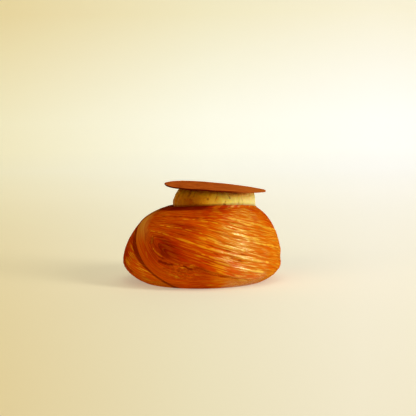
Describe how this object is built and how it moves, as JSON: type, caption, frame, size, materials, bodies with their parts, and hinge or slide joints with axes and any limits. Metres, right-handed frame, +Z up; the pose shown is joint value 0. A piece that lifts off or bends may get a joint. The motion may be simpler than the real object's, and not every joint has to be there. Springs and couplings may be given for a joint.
{
  "type": "danish pastry",
  "caption": "Round laminated danish bun in swirled wraps, with a low puck of nut cream set in its top and a thin tilted cocoa disc laid on the cream.",
  "frame": {"origin": "on the flat foot's level, under the middle of the bun's outline", "axes": "+Z up, front towards -Y, +X to the front view's right, where the disc dips"},
  "size_m": [0.0938, 0.091, 0.0576],
  "materials": {
    "baked_crust": "glazed, golden brown to deep orange brown, in fine stripes",
    "nut_cream": "matt, slightly porous, with fine dark specks",
    "cocoa": "dry and matt, with a fine grain"
  },
  "bodies": {
    "root": {"bun": "baked_crust", "cream": "nut_cream", "cocoa_disc": "cocoa"}
  },
  "joints": []
}
